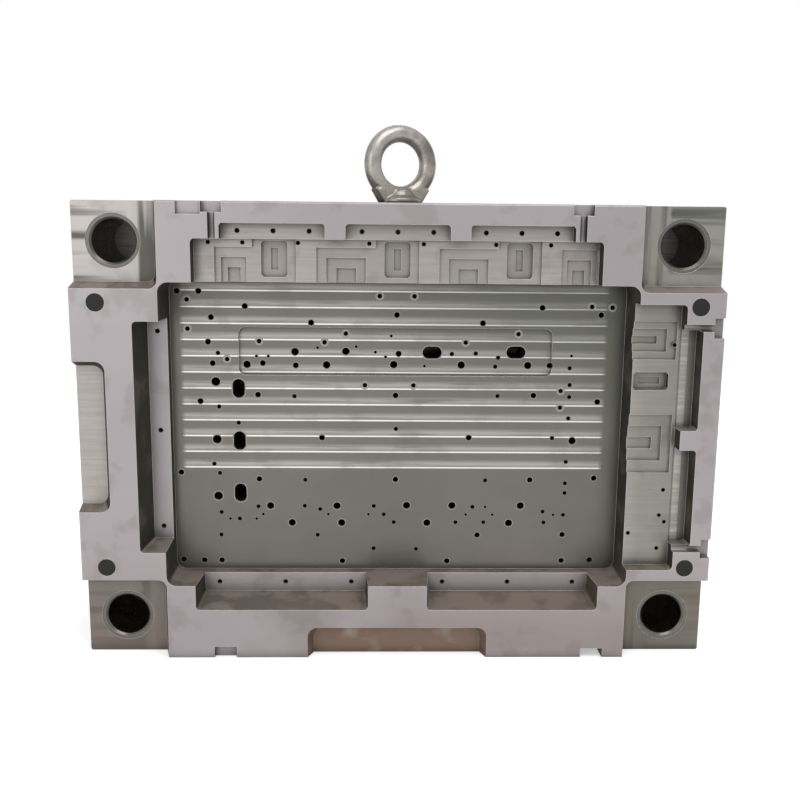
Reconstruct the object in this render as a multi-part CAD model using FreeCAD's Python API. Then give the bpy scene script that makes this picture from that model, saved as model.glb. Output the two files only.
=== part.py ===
import FreeCAD, Part
import math
import os

# Moving half of an injection mould base, standing on its long edge as it hangs from its eyebolt.
# Frame: +X along the long edge, +Z up, the parting face looks along -Y.
# Origin: middle of the underside. All lengths in millimetres, angles in degrees.

V = FreeCAD.Vector

# ---------------------------------------------------------------- plates
plate_length = 900.0
plate_height = 650.0
core_thickness = 150.0
spacer_thickness = 120.0
spacer_width = 105.0
clamp_thickness = 40.0
edge_chamfer = 2.0
light_sides = 12

# ---------------------------------------------------------------- fits
running_clearance = 0.05
press_clearance = 0.02
thread_clearance = 0.05
free_clearance = 1.0
side_clearance = 5.0

# ---------------------------------------------------------------- corner interlocks
corner_lock_length = 120.0
corner_lock_height = 118.0
corner_lock_depth = 28.0
corner_lock_run = 8.0
corner_lock_radius = 12.0

# ---------------------------------------------------------------- edge interlocks and notches
side_lock_width = 45.0
side_lock_span = 214.0
bottom_lock_span = 260.0
bottom_lock_height = 46.0
edge_lock_depth = 20.0
edge_lock_run = 8.0
edge_lock_radius = 14.0
tag_notch_edge = 164.0
tag_notch_x = tag_notch_edge - plate_length / 2
tag_notch_width = 33.0
tag_notch_height = 18.0
tag_notch_depth = 5.0
foot_notch_x = -248.0
foot_notch_depth = 8.0
foot_notch_height = 17.0
pry_slot_x = 284.0
pry_slot_depth = 50.0
pry_slot_height = 14.0
foot_notch_width = 32.0

# ---------------------------------------------------------------- insert pocket
pocket_side_wall = 120.0
pocket_end_wall = 109.0
pocket_length = plate_length - 2 * pocket_side_wall
pocket_height = plate_height - 2 * pocket_end_wall
pocket_depth = 75.0
pocket_radius = 14.0
relief_margin = 102.0
relief_length = pocket_length - 2 * relief_margin
relief_height = 70.0
relief_depth = 5.0
relief_radius = 10.0
relief_x = -4.0
relief_z = pocket_height / 2 - relief_margin

# ---------------------------------------------------------------- heel slots beside the pocket
heel_ledge = 28.0
heel_run = 8.0
heel_depth = 57.0
heel_radius = 6.0
side_heel_margin = 53.5
side_heel_span = pocket_height - 2 * side_heel_margin
bottom_heel_margin = 41.5
bottom_heel_gap = 85.0
bottom_heel_span = pocket_length / 2 - 2 * bottom_heel_margin
bottom_heel_pitch = bottom_heel_span + bottom_heel_gap
ledge_screw_d = 6.8
ledge_screw_depth = 18.0
ledge_screw_edge = 14.0
side_ledge_margin = 18.5
bottom_ledge_margin = 25.5
side_ledge_pitch = side_heel_span / 2 - side_ledge_margin
bottom_ledge_pitch = bottom_heel_span / 2 - bottom_ledge_margin

# ---------------------------------------------------------------- slide seats
seat_depth = 25.0
seat_radius = 6.0
top_seat_margin = 50.0
top_seat_length = pocket_length - 2 * top_seat_margin
top_seat_height = 59.0
slide_axis_x = -4.0
side_seat_width = 66.0
side_seat_margin = 25.0
side_seat_span = pocket_height - 2 * side_seat_margin
gib_gap = 28.0
top_gib_margin = 25.0
side_gib_margin = 21.0
top_gib_pitch = (top_seat_length - 2 * top_gib_margin) / 3
side_gib_pitch = side_seat_span / 2 - side_gib_margin
gib_corner = 3.0
top_gib_depth = 18.0
top_gib_width = 21.0
side_gib_depth = 30.0
side_gib_width = 24.0
gib_screw_pitch = 49.0
gib_screw_d = 6.8
gib_screw_depth = 20.0
gib_screw_edge = 11.0
spring_groove_d = 10.0
spring_mouth_width = 28.0
spring_mouth_length = 15.0
top_groove_margin = 29.0
side_groove_margin = 32.0
top_groove_pitch = top_seat_length - 2 * top_groove_margin
side_groove_pitch = side_seat_span - 2 * side_groove_margin

# tracks, key pockets and terraces milled into the floors of the slide seats
slide_track_width = 60.0
slide_track_step = 4.0
key_pocket_width = 36.0
key_pocket_length = 50.0
key_pocket_depth = 6.0
key_pocket_corner = 3.5
key_slot_width = 10.0
key_slot_depth = 3.0
side_key_z = 81.0
side_key_height = 26.0
terrace_count = 3
terrace_step = 4.0
terrace_edge = 11.0
top_terrace_rise = 14.0
side_terrace_step = 13.0
upper_terrace_margin = 52.0
upper_terrace_z = side_seat_span / 2 - upper_terrace_margin
upper_terrace_height = 54.0
lower_terrace_z = -10.0
lower_terrace_height = 85.0

# ---------------------------------------------------------------- guide and return pins
guide_edge_x = 56.0
guide_edge_z = 54.5
guide_x = plate_length / 2 - guide_edge_x
guide_z = plate_height / 2 - guide_edge_z
guide_bore_d = 60.0
bush_d = 75.0
bush_lead_in = 3.0
bush_setback = 0.5
return_edge_x = 36.0
return_edge_z = 137.0
return_x = plate_length / 2 - return_edge_x
return_z = plate_height / 2 - return_edge_z
return_pin_d = 25.0
return_head_d = 32.0
return_head = 8.0

# ---------------------------------------------------------------- return springs
spring_wire_radial = 5.0
spring_wire_axial = 5.5
spring_bore_clearance = 1.0
spring_turns = 4
spring_sides = 8
spring_well_depth = 30.0

# ---------------------------------------------------------------- ejector set
retainer_thickness = 25.0
backing_thickness = 30.0
stop_button_height = 5.0
stop_button_d = 30.0
pillar_x = 130.0
pillar_z = 105.0
pillar_d = 50.0
pillar_way = 3.0
knockout_d = 50.0
coupling_thread_d = 20.0

# ---------------------------------------------------------------- screws and dowels
clamp_screw_d = 20.0
clamp_screw_edge = 200.0
clamp_screw_pitch = plate_length / 2 - clamp_screw_edge
clamp_screw_columns = 3
clamp_screw_grip = 32.0
pillar_screw_d = 16.0
pillar_screw_grip = 30.0
ejector_screw_d = 12.0
ejector_screw_pitch = 280.0
ejector_screw_margin = 35.0
ejector_screw_z = plate_height / 2 - spacer_width - ejector_screw_margin
ejector_screw_grip = 18.0
dowel_d = 20.0
dowel_edge = 110.0
dowel_x = plate_length / 2 - dowel_edge
dowel_grip = 25.0
head_setback = 1.0

# ---------------------------------------------------------------- lifting
eye_outer_d = 108.0
eye_inner_d = 60.0
eye_height = 109.0
eye_collar_d = 58.0
eye_collar = 9.0
eye_neck_d = 40.0
eye_neck_height = 22.0
eye_thread_d = 30.0
eye_thread_length = 45.0
eye_hole_depth = 60.0
eye_turn = 22.0
eye_web_base = 56.0
eye_web_top = 83.0
eye_web_height = 21.0
eye_web_thickness = 24.0
eye_section_sides = 8

# ---------------------------------------------------------------- hole chart of the pocket floor
# (x, z) from the middle of the plate, drawn for a pocket of chart_length by chart_height
chart_length = 660.0
chart_height = 432.0
core_pin_d = 11.0
core_pins = [(-221, 94), (-105, 94), (-7, 95), (92, 95), (190, 95), (-151, 113), (-77, 114),
             (-189, -118), (-90, -118), (14, -117), (82, -117), (185, -117),
             (-157, -144), (-83, -144), (45, -144), (168, -144), (259, -17)]
insert_screw_d = 8.5
insert_screws = [(-319, 200), (-288, 200), (-222, 179), (-271, 163), (-276, 127), (-127, 156),
                 (-3, 168), (122, 157), (208, 180), (294, 170), (294, 42), (294, -74), (293, -202),
                 (-198, 96), (-150, 93), (-270, 96), (222, 95), (0, 111), (-289, 40),
                 (-205, 50), (-4, 50), (199, 51), (-112, -14), (105, -13), (-320, -67),
                 (-205, -77), (-3, -77), (198, -77), (121, -163), (250, -162),
                 (-320, -202), (-289, -203), (-263, -203), (-82, -204), (76, -204), (250, -203)]
stud_d = 13.0
studs = [(-266, 69), (-266, -17), (-266, -103)]
slot_width = 18.0
slot_length = 28.0
upright_slots = [(-233, 59), (-233, -19), (-233, -98)]
level_slots = [(49, 113), (172, 114)]

# ---------------------------------------------------------------- worked-out places
stack_depth = core_thickness + spacer_thickness + clamp_thickness
front = -stack_depth / 2
core_back = front + core_thickness
clamp_front = core_back + spacer_thickness
clamp_back = clamp_front + clamp_thickness
half_length = plate_length / 2
middle_z = plate_height / 2
pocket_floor = front + pocket_depth
seat_floor = front + seat_depth
corner_floor = front + corner_lock_depth
backing_back = clamp_front - stop_button_height
retainer_back = backing_back - backing_thickness
retainer_front = retainer_back - retainer_thickness
spring_well = core_back - spring_well_depth
ejector_edge = spacer_width + side_clearance
pocket_left = -pocket_length / 2
pocket_right = pocket_length / 2
pocket_low = middle_z - pocket_height / 2
pocket_high = middle_z + pocket_height / 2
eye_y = front + core_thickness / 2
past = 20.0

corners = {"upper_left": (-1, 1), "upper_right": (1, 1), "lower_left": (-1, -1), "lower_right": (1, -1)}


# ---------------------------------------------------------------- shapes
def block(x0, x1, y0, y1, z0, z1):
    return Part.makeBox(x1 - x0, y1 - y0, z1 - z0, V(x0, y0, z0))


def plate(x0, x1, y0, y1, z0, z1):
    """A ground plate with every edge broken."""
    body = block(x0, x1, y0, y1, z0, z1)
    return body.makeChamfer(edge_chamfer, body.Edges)


def rod(x, z, diameter, y0, y1):
    """A round bar along Y."""
    return Part.makeCylinder(diameter / 2, y1 - y0, V(x, y0, z), V(0, 1, 0))


def prism(x, z, radius, sides, y0, y1):
    """A bar along Y with a regular polygon section; radius reaches its corners."""
    points = [V(x + radius * math.cos(2 * math.pi * i / sides), y0,
                z + radius * math.sin(2 * math.pi * i / sides)) for i in range(sides + 1)]
    return Part.Face(Part.makePolygon(points)).extrude(V(0, y1 - y0, 0))


def drilling(x, z, diameter, y0, y1, sides=8):
    """A hole that nothing runs in, kept light: its flats touch the true diameter."""
    return prism(x, z, diameter / 2 / math.cos(math.pi / sides), sides, y0, y1)


def opening(x, z, diameter, y0, y1):
    """A larger clearance hole, kept light in the same way."""
    return drilling(x, z, diameter, y0, y1, light_sides)


def milled(x0, x1, z0, z1, corner, depth, start):
    """A small milled pocket from a floor at depth start, its round corners kept as one flat each."""
    points = [(x0 + corner, z0), (x1 - corner, z0), (x1, z0 + corner), (x1, z1 - corner),
              (x1 - corner, z1), (x0 + corner, z1), (x0, z1 - corner), (x0, z0 + corner)]
    outline = Part.makePolygon([V(x, front + start - 1, z) for x, z in points + points[:1]])
    return Part.Face(outline).extrude(V(0, depth - start + 1, 0))


def upright_rod(x, y, diameter, z0, z1):
    return Part.makeCylinder(diameter / 2, z1 - z0, V(x, y, z0), V(0, 0, 1))


def round_rectangle(x0, x1, z0, z1, radius, y):
    """A closed wire in the plane at y with its four corners rounded."""
    r = radius
    k = r * (1 - math.sqrt(0.5))
    p = lambda x, z: V(x, y, z)
    return Part.Wire([
        Part.makeLine(p(x0 + r, z0), p(x1 - r, z0)),
        Part.Arc(p(x1 - r, z0), p(x1 - k, z0 + k), p(x1, z0 + r)).toShape(),
        Part.makeLine(p(x1, z0 + r), p(x1, z1 - r)),
        Part.Arc(p(x1, z1 - r), p(x1 - k, z1 - k), p(x1 - r, z1)).toShape(),
        Part.makeLine(p(x1 - r, z1), p(x0 + r, z1)),
        Part.Arc(p(x0 + r, z1), p(x0 + k, z1 - k), p(x0, z1 - r)).toShape(),
        Part.makeLine(p(x0, z1 - r), p(x0, z0 + r)),
        Part.Arc(p(x0, z0 + r), p(x0 + k, z0 + k), p(x0 + r, z0)).toShape(),
    ])


def pocket(x0, x1, z0, z1, radius, depth, start=0.0):
    """An end-milled pocket cut from the parting face, or from a floor at depth start."""
    wire = round_rectangle(x0, x1, z0, z1, radius, front + start - (past if start == 0 else 1))
    length = depth - start + (past if start == 0 else 1)
    return Part.Face(wire).extrude(V(0, length, 0))


def tapered_pocket(mouth, floor, radius, depth):
    """A pocket whose walls lean from its mouth in the parting face to its floor."""
    reach = past / depth
    outer = [m + (m - f) * reach for m, f in zip(mouth, floor)]
    wires = [round_rectangle(*outer, radius, front - past), round_rectangle(*floor, radius, front + depth)]
    return Part.makeLoft(wires, True, True)


def revolve_along_y(x, z, profile):
    """A turned piece about the line through (x, z) along Y; profile is a list of (radius, y)."""
    points = [V(x + r, y, z) for r, y in profile]
    face = Part.Face(Part.makePolygon(points + points[:1]))
    return face.revolve(V(x, 0, z), V(0, 1, 0), 360)


def cap_screw(x, z, diameter, seat, tip):
    """A socket head cap screw whose head sits at y = seat, pointing to y = tip."""
    head = prism(x, z, 0.75 * diameter, light_sides, seat, seat + diameter)
    shank = prism(x, z, diameter / 2, light_sides, tip, seat)
    socket = prism(x, z, 0.46 * diameter, 6, seat + 0.5 * diameter, seat + diameter + 1)
    return head.fuse(shank).removeSplitter().cut(socket)


def screw_way(x, z, diameter, seat, tip, back):
    """Clearance hole for a cap screw with a counterbore that opens at y = back."""
    shank = opening(x, z, diameter + free_clearance, tip, seat)
    head = opening(x, z, 1.5 * diameter + 2 * free_clearance, seat, back + 1)
    return [shank, head]


# ---------------------------------------------------------------- patterns
def clamp_screw_places():
    first = -clamp_screw_pitch * (clamp_screw_columns - 1) / 2
    xs = [first + clamp_screw_pitch * i for i in range(clamp_screw_columns)]
    return [(x, z) for z in (spacer_width / 2, plate_height - spacer_width / 2) for x in xs]


def dowel_places():
    return [(-dowel_x, spacer_width / 2), (dowel_x, plate_height - spacer_width / 2)]


def mirrored(x, z):
    return [(sx * x, middle_z + sz * z) for sx, sz in corners.values()]


def ejector_screw_places():
    xs = [ejector_screw_pitch * i for i in (-1, 0, 1)]
    return [(x, middle_z + s * ejector_screw_z) for s in (-1, 1) for x in xs]


def stop_button_places():
    return [(x, middle_z + s * return_z) for s in (-1, 1) for x in (-return_x, 0, return_x)]


# ---------------------------------------------------------------- cuts in the core plate
def corner_locks():
    """The four stepped corners, with leaning walls, that centre the halves of the mould."""
    cuts = []
    for sx, sz in corners.values():
        inner_x = half_length - corner_lock_length
        inner_z = middle_z - corner_lock_height
        mouth = [inner_x, half_length + past, inner_z, middle_z + past]
        floor = [inner_x + corner_lock_run, half_length + past, inner_z + corner_lock_run, middle_z + past]
        if sx < 0:
            mouth[:2], floor[:2] = [-mouth[1], -mouth[0]], [-floor[1], -floor[0]]
        if sz < 0:
            mouth[2:], floor[2:] = [-mouth[3], -mouth[2]], [-floor[3], -floor[2]]
        mouth[2:] = [z + middle_z for z in mouth[2:]]
        floor[2:] = [z + middle_z for z in floor[2:]]
        cuts.append(tapered_pocket(mouth, floor, corner_lock_radius, corner_lock_depth))
    return cuts


def edge_locks():
    """The leaning notches in the left edge and in the underside."""
    side_mouth = [-half_length - past, -half_length + side_lock_width,
                  middle_z - side_lock_span / 2, middle_z + side_lock_span / 2]
    side_floor = [side_mouth[0], side_mouth[1] - edge_lock_run,
                  side_mouth[2] + edge_lock_run, side_mouth[3] - edge_lock_run]
    low_mouth = [-bottom_lock_span / 2, bottom_lock_span / 2, -past, bottom_lock_height]
    low_floor = [low_mouth[0] + edge_lock_run, low_mouth[1] - edge_lock_run,
                 -past, bottom_lock_height - edge_lock_run]
    return [tapered_pocket(side_mouth, side_floor, edge_lock_radius, edge_lock_depth),
            tapered_pocket(low_mouth, low_floor, edge_lock_radius, edge_lock_depth)]


def edge_notches():
    """The tag notch in the top edge and the foot notch and pry slot in the underside."""
    def notch(x, width, depth, z0, z1):
        return block(x - width / 2, x + width / 2, front - past, front + depth, z0, z1)
    return [notch(tag_notch_x, tag_notch_width, tag_notch_depth,
                  plate_height - tag_notch_height, plate_height + past),
            notch(foot_notch_x, foot_notch_width, foot_notch_depth, -past, foot_notch_height),
            notch(pry_slot_x, foot_notch_width, pry_slot_depth, -past, pry_slot_height)]


def insert_pocket():
    """The deep pocket for the core insert, with a shallow relief in its floor."""
    x0, x1 = relief_x - relief_length / 2, relief_x + relief_length / 2
    z0 = middle_z + relief_z - relief_height / 2
    return [pocket(pocket_left, pocket_right, pocket_low, pocket_high, pocket_radius, pocket_depth),
            pocket(x0, x1, z0, z0 + relief_height, relief_radius, pocket_depth + relief_depth, pocket_depth)]


def heel_slots():
    """Slots beside the pocket whose outer wall leans, to back up the heels of the other half."""
    inside = heel_ledge + pocket_radius * 2
    z0, z1 = middle_z - side_heel_span / 2, middle_z + side_heel_span / 2
    ledge = pocket_left - heel_ledge
    cuts = [tapered_pocket([ledge - heel_run, ledge + inside, z0 - heel_run / 2, z1],
                           [ledge, ledge + inside, z0, z1], heel_radius, heel_depth)]
    y0, y1 = front + heel_depth - 1, front + heel_depth + ledge_screw_depth
    cuts += [drilling(ledge + ledge_screw_edge, middle_z + side_ledge_pitch * i, ledge_screw_d, y0, y1, 6)
             for i in (-1, 0, 1)]
    ledge = pocket_low - heel_ledge
    for s in (-1, 1):
        x = s * bottom_heel_pitch / 2
        x0, x1 = x - bottom_heel_span / 2, x + bottom_heel_span / 2
        cuts.append(tapered_pocket([x0, x1, ledge - heel_run, ledge + inside],
                                   [x0 + heel_run / 2, x1 - heel_run / 2, ledge, ledge + inside],
                                   heel_radius, heel_depth))
        cuts += [drilling(x + bottom_ledge_pitch * i, ledge + ledge_screw_edge, ledge_screw_d, y0, y1, 6)
                 for i in (-1, 0, 1)]
    return cuts


def terraces(x0, x1, z0, z1, step_z, open_side):
    """Three nested steps going down from the seat floor; open_side names the side they share."""
    cuts = []
    step_x = (x1 - x0) / terrace_count / 2 if open_side == "low" else side_terrace_step
    for i in range(terrace_count):
        low = z0 - pocket_radius if open_side == "low" else z0 + step_z * i
        left = pocket_right - pocket_radius if open_side == "left" else x0 + step_x * i
        depth = seat_depth + terrace_step * (i + 1)
        cuts.append(block(left, x1 - step_x * i, seat_floor - 1, front + depth, low, z1 - step_z * i))
    return cuts


def key_pocket(x, z, across, along):
    """A round-cornered pocket with a key slot in its floor, for a slide's guide key."""
    deep = slide_track_depth() + key_pocket_depth
    slot = key_slot_width / 2
    narrow_x = slot if across < along else across / 2 - key_slot_width
    narrow_z = along / 2 - key_slot_width if across < along else slot
    return [milled(x - across / 2, x + across / 2, z - along / 2, z + along / 2,
                   key_pocket_corner, deep, seat_depth),
            block(x - narrow_x, x + narrow_x, front + deep - 1, front + deep + key_slot_depth,
                  z - narrow_z, z + narrow_z)]


def slide_track_depth():
    return seat_depth + slide_track_step


def top_slide_seat():
    """Three slide stations above the pocket: gib recess, slide track, key pocket and terraces."""
    x0, x1 = slide_axis_x - top_seat_length / 2, slide_axis_x + top_seat_length / 2
    top = pocket_high + top_seat_height
    low = pocket_high - pocket_radius
    cuts = [pocket(x0, x1, low, top, seat_radius, seat_depth)]
    pitch = top_gib_pitch
    gib_length = pitch - gib_gap
    key_z = top - key_pocket_length / 2 - edge_chamfer
    high_step = top - terrace_edge
    y0, y1 = front + top_gib_depth - 1, front + top_gib_depth + gib_screw_depth
    for i in (-1, 0, 1):
        x = slide_axis_x + pitch * i
        cuts.append(milled(x - gib_length / 2, x + gib_length / 2, top - gib_corner * 2,
                           top + top_gib_width, gib_corner, top_gib_depth, -1))
        cuts += [drilling(x + gib_screw_pitch * j, top + gib_screw_edge, gib_screw_d, y0, y1, 6)
                 for j in (-1, 0, 1)]
        cuts.append(block(x - slide_track_width / 2, x + slide_track_width / 2, seat_floor - 1,
                          front + slide_track_depth(), low, top))
        cuts += key_pocket(x, key_z, key_pocket_width, key_pocket_length)
    step_left = slide_track_width / 2 + gib_gap
    for i in (-1, 0):
        x = slide_axis_x + pitch * i
        cuts += terraces(x + step_left, x + pitch - slide_track_width / 2, pocket_high, high_step,
                         top_terrace_rise, "low")
    cuts += terraces(x0 + gib_gap, slide_axis_x - pitch - slide_track_width / 2, pocket_high, high_step,
                     top_terrace_rise, "low")
    cuts += terraces(slide_axis_x + pitch + step_left, x1 - edge_chamfer, pocket_high, high_step,
                     top_terrace_rise, "low")
    for s in (-1, 1):
        x = slide_axis_x + s * top_groove_pitch / 2
        cuts.append(block(x - spring_groove_d / 2, x + spring_groove_d / 2, front - past,
                          front + spring_groove_d / 2, top - 1, plate_height + past))
        cuts.append(upright_rod(x, front + spring_groove_d / 2, spring_groove_d, top - 1, plate_height + past))
        cuts.append(block(x - spring_mouth_width / 2, x + spring_mouth_width / 2, front - past,
                          front + spring_groove_d, plate_height - spring_mouth_length, plate_height + past))
    return cuts


def side_slide_seat():
    """Two slide stations to the right of the pocket."""
    x1 = pocket_right + side_seat_width
    z0, z1 = middle_z - side_seat_span / 2, middle_z + side_seat_span / 2
    cuts = [pocket(pocket_right - pocket_radius * 2, x1, z0, z1, seat_radius, seat_depth)]
    reach = (side_gib_pitch - gib_gap) / 2
    for s in (-1, 1):
        z = middle_z + s * side_gib_pitch / 2
        cuts.append(milled(x1, x1 + side_gib_width, z - reach, z + reach, gib_corner, side_gib_depth, -1))
        cuts.append(block(x1 - 1, x1 + gib_corner, front - 1, front + side_gib_depth, z - reach, z + reach))
    key_x = pocket_right + key_pocket_length / 2 + edge_chamfer
    cuts += key_pocket(key_x, middle_z + side_key_z, key_pocket_length, side_key_height)
    step_right = x1 - terrace_edge / 2
    for z, height in ((upper_terrace_z, upper_terrace_height), (lower_terrace_z, lower_terrace_height)):
        cuts += terraces(pocket_right, step_right, middle_z + z - height / 2, middle_z + z + height / 2,
                         height / 5, "left")
    for s in (-1, 1):
        z = middle_z + s * side_groove_pitch / 2
        cuts.append(block(x1 - 1, half_length + past, front - past, front + spring_groove_d / 2,
                          z - spring_groove_d / 2, z + spring_groove_d / 2))
        cuts.append(Part.makeCylinder(spring_groove_d / 2, half_length + past - x1,
                                      V(x1 - 1, front + spring_groove_d / 2, z), V(1, 0, 0)))
        cuts.append(block(half_length - spring_mouth_length, half_length + past, front - past,
                          front + spring_groove_d, z - spring_mouth_width / 2, z + spring_mouth_width / 2))
    return cuts


def charted(places):
    """Places of the hole chart on this pocket's floor, heights from the underside."""
    across, up = pocket_length / chart_length, pocket_height / chart_height
    return [(x * across, middle_z + z * up) for x, z in places]


def floor_holes():
    """Holes for core pins, insert screws and the insert's services, through to the back."""
    start, end = pocket_floor - 1, core_back + 1
    cuts = []
    for places, diameter, sides in ((core_pins, core_pin_d, 8), (insert_screws, insert_screw_d, 6),
                                    (studs, stud_d, 8)):
        cuts += [drilling(x, z, diameter, start, end, sides) for x, z in charted(places)]
    for places, half_x, half_z in ((upright_slots, slot_width / 2, slot_length / 2),
                                   (level_slots, slot_length / 2, slot_width / 2)):
        for x, z in charted(places):
            cuts.append(milled(x - half_x, x + half_x, z - half_z, z + half_z,
                               slot_width / 4, core_thickness + 1, pocket_depth))
    return cuts


def pin_bores():
    """Bores for the guide bushes and for the return pins, with a well for each return spring."""
    cuts = []
    for x, z in mirrored(guide_x, guide_z):
        cuts.append(rod(x, z, bush_d + 2 * press_clearance, corner_floor - past, core_back + 1))
    for x, z in mirrored(return_x, return_z):
        cuts.append(rod(x, z, return_pin_d + 2 * running_clearance, front - 1, core_back + 1))
        cuts.append(opening(x, z, spring_outer_d() + 2 * spring_bore_clearance, spring_well, core_back + 1))
    return cuts


def back_holes():
    """Tapped holes for the clamp screws, dowel holes, and the lifting threads in three edges."""
    cuts = []
    for x, z in clamp_screw_places():
        cuts.append(opening(x, z, clamp_screw_d + 2 * thread_clearance,
                            core_back - clamp_screw_grip - free_clearance, core_back + 1))
    bottom = core_back - dowel_grip - free_clearance
    cuts += [rod(x, z, dowel_d + 2 * press_clearance, bottom, core_back + 1) for x, z in dowel_places()]
    thread = eye_thread_d + 2 * thread_clearance
    cuts.append(upright_rod(0, eye_y, thread, plate_height - eye_hole_depth, plate_height + 1))
    for s in (-1, 1):
        cuts.append(Part.makeCylinder(thread / 2, eye_hole_depth + 1,
                                      V(s * (half_length + 1), eye_y, middle_z), V(-s, 0, 0)))
    return cuts


def core_plate():
    body = plate(-half_length, half_length, front, core_back, 0, plate_height)
    cuts = corner_locks() + edge_locks() + edge_notches() + insert_pocket() + heel_slots()
    cuts += top_slide_seat() + side_slide_seat() + floor_holes() + pin_bores() + back_holes()
    return body.cut(cuts)


# ---------------------------------------------------------------- guide bushes
def guide_bush(x, z):
    """A straight bush, pressed in from behind, that a leader pin of the other half slides into."""
    bore = guide_bore_d / 2
    outer = bush_d / 2
    face = corner_floor + bush_setback
    return revolve_along_y(x, z, [(bore + bush_lead_in, face), (outer, face), (outer, core_back),
                                  (bore, core_back), (bore, face + bush_lead_in)])


# ---------------------------------------------------------------- frame behind the core plate
def spacer_block(z0):
    body = plate(-half_length, half_length, core_back, clamp_front, z0, z0 + spacer_width)
    def in_block(places):
        return [(x, z) for x, z in places if z0 < z < z0 + spacer_width]
    screws = [opening(x, z, clamp_screw_d + free_clearance, core_back - 1, clamp_front + 1)
              for x, z in in_block(clamp_screw_places())]
    pins = [rod(x, z, dowel_d + 2 * press_clearance, core_back - 1, clamp_front + 1)
            for x, z in in_block(dowel_places())]
    return body.cut(screws + pins)


def clamp_plate():
    body = plate(-half_length, half_length, clamp_front, clamp_back, 0, plate_height)
    cuts = [rod(0, middle_z, knockout_d, clamp_front - 1, clamp_back + 1)]
    for places, diameter in ((clamp_screw_places(), clamp_screw_d),
                             (mirrored(pillar_x, pillar_z), pillar_screw_d)):
        for x, z in places:
            cuts += screw_way(x, z, diameter, head_seat(clamp_back, diameter), clamp_front - 1, clamp_back)
    bottom = clamp_front + dowel_grip + free_clearance
    cuts += [rod(x, z, dowel_d + 2 * press_clearance, clamp_front - 1, bottom) for x, z in dowel_places()]
    return body.cut(cuts)


def head_seat(back, diameter):
    """Where the head of a cap screw sits when it lies just below the face at y = back."""
    return back - diameter - head_setback


def support_pillar(x, z):
    body = rod(x, z, pillar_d, core_back, clamp_front)
    return body.cut(opening(x, z, pillar_screw_d + 2 * thread_clearance,
                            clamp_front - pillar_screw_grip - free_clearance, clamp_front + 1))


def stop_buttons():
    return Part.makeCompound([prism(x, z, stop_button_d / 2, light_sides, backing_back, clamp_front)
                              for x, z in stop_button_places()])


# ---------------------------------------------------------------- ejector set
def ejector_plate_blank(y0, y1):
    body = plate(-half_length, half_length, y0, y1, ejector_edge, plate_height - ejector_edge)
    return body.cut([opening(x, z, pillar_d + 2 * pillar_way, y0 - 1, y1 + 1)
                     for x, z in mirrored(pillar_x, pillar_z)])


def ejector_retainer_plate():
    cuts = []
    for x, z in mirrored(return_x, return_z):
        cuts.append(opening(x, z, return_pin_d + free_clearance, retainer_front - 1, retainer_back + 1))
        cuts.append(opening(x, z, return_head_d + free_clearance, retainer_back - return_head, retainer_back + 1))
    for x, z in ejector_screw_places():
        cuts.append(opening(x, z, ejector_screw_d + 2 * thread_clearance,
                            retainer_back - ejector_screw_grip - free_clearance, retainer_back + 1))
    return ejector_plate_blank(retainer_front, retainer_back).cut(cuts)


def ejector_backing_plate():
    cuts = [rod(0, middle_z, coupling_thread_d, retainer_back - 1, backing_back + 1)]
    for x, z in ejector_screw_places():
        cuts += screw_way(x, z, ejector_screw_d, head_seat(backing_back, ejector_screw_d),
                          retainer_back - 1, backing_back)
    return ejector_plate_blank(retainer_back, backing_back).cut(cuts)


def return_pin(x, z):
    shank = rod(x, z, return_pin_d, front, retainer_back)
    return shank.fuse(rod(x, z, return_head_d, retainer_back - return_head, retainer_back)).removeSplitter()


def spring_reach():
    """From the pin's centre to the corners of the wire's centre line."""
    mean = return_pin_d / 2 + spring_bore_clearance + spring_wire_radial / 2
    return mean / math.cos(math.pi / spring_sides)


def spring_outer_d():
    return 2 * spring_reach() + spring_wire_radial


def wire_corners(x, z, i):
    """The four corners of the spring's wire at its run number i, counted round the section."""
    turn = 2 * math.pi * i / spring_sides
    rise = (retainer_front - spring_well - spring_wire_axial) / (spring_turns * spring_sides)
    y = spring_well + spring_wire_axial / 2 + rise * i
    around = []
    for a, b in ((-1, -1), (1, -1), (1, 1), (-1, 1)):
        r = spring_reach() + a * spring_wire_radial / 2
        around.append(V(x + r * math.cos(turn), y + b * spring_wire_axial / 2, z + r * math.sin(turn)))
    return around


def return_spring(x, z):
    """A flat-wire coil spring round a return pin, from its well to the retainer plate."""
    def flat(*points):
        return Part.Face(Part.makePolygon(list(points) + [points[0]]))
    runs = spring_turns * spring_sides
    faces = [flat(*wire_corners(x, z, 0)), flat(*wire_corners(x, z, runs))]
    for i in range(runs):
        here, there = wire_corners(x, z, i), wire_corners(x, z, i + 1)
        for a, b in ((0, 1), (1, 2), (2, 3), (3, 0)):
            faces += [flat(here[a], here[b], there[b]), flat(here[a], there[b], there[a])]
    return Part.makeSolid(Part.makeShell(faces))


# ---------------------------------------------------------------- fasteners
def clamp_screws():
    return Part.makeCompound([cap_screw(x, z, clamp_screw_d, head_seat(clamp_back, clamp_screw_d),
                                        core_back - clamp_screw_grip) for x, z in clamp_screw_places()])


def pillar_screws():
    return Part.makeCompound([cap_screw(x, z, pillar_screw_d, head_seat(clamp_back, pillar_screw_d),
                                        clamp_front - pillar_screw_grip)
                              for x, z in mirrored(pillar_x, pillar_z)])


def ejector_plate_screws():
    return Part.makeCompound([cap_screw(x, z, ejector_screw_d, head_seat(backing_back, ejector_screw_d),
                                        retainer_back - ejector_screw_grip)
                              for x, z in ejector_screw_places()])


def dowels():
    return Part.makeCompound([rod(x, z, dowel_d, core_back - dowel_grip, clamp_front + dowel_grip)
                              for x, z in dowel_places()])


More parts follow.
